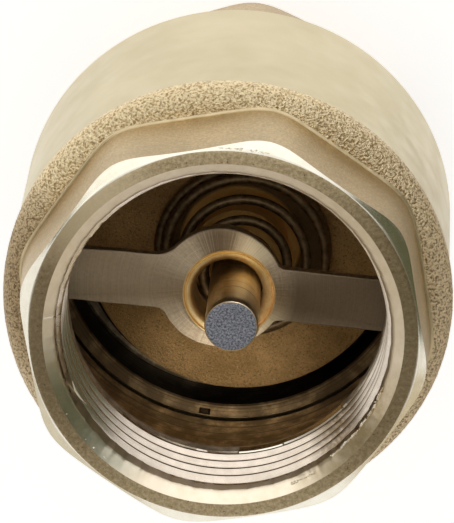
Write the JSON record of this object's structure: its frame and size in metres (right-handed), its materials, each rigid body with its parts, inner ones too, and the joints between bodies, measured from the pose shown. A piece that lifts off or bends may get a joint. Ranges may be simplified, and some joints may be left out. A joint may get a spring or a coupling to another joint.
{
  "type": "spring non-return valve",
  "caption": "Brass non-return valve with a threaded octagonal end on each side of a round barrel, and a spring-loaded disc on a stem guided by a bridge across the outlet.",
  "frame": {"origin": "centre of the inlet face, on which the valve stands", "axes": "+Z along the bore from the inlet to the outlet; +X along the bridge across the outlet; -Y is the side that the picture shows above the bore"},
  "size_m": [0.056, 0.056, 0.064],
  "materials": {
    "forged_brass": "forged and turned",
    "blasted_brass": "blasted",
    "turned_brass": "turned",
    "stem_steel": "ground",
    "spring_steel": "drawn wire",
    "seal_rubber": "matte",
    "gasket_rubber": "matte"
  },
  "bodies": {
    "housing": {"valve_body": "forged_brass", "inlet_connector": "forged_brass", "joint_gasket": "gasket_rubber", "return_spring": "spring_steel"},
    "poppet": {"valve_disc": "blasted_brass", "stem": "stem_steel", "disc_seal": "seal_rubber", "seal_washer": "turned_brass", "stem_nut": "stem_steel"}
  },
  "joints": [
    {"name": "poppet_lift", "type": "slide", "parent": "housing", "child": "poppet", "axis": [0, 0, 1], "range_m": [0, 0.008], "stiffness_N_per_m": 350, "springref_m": -0.006, "deforming": ["return_spring"]}
  ]
}
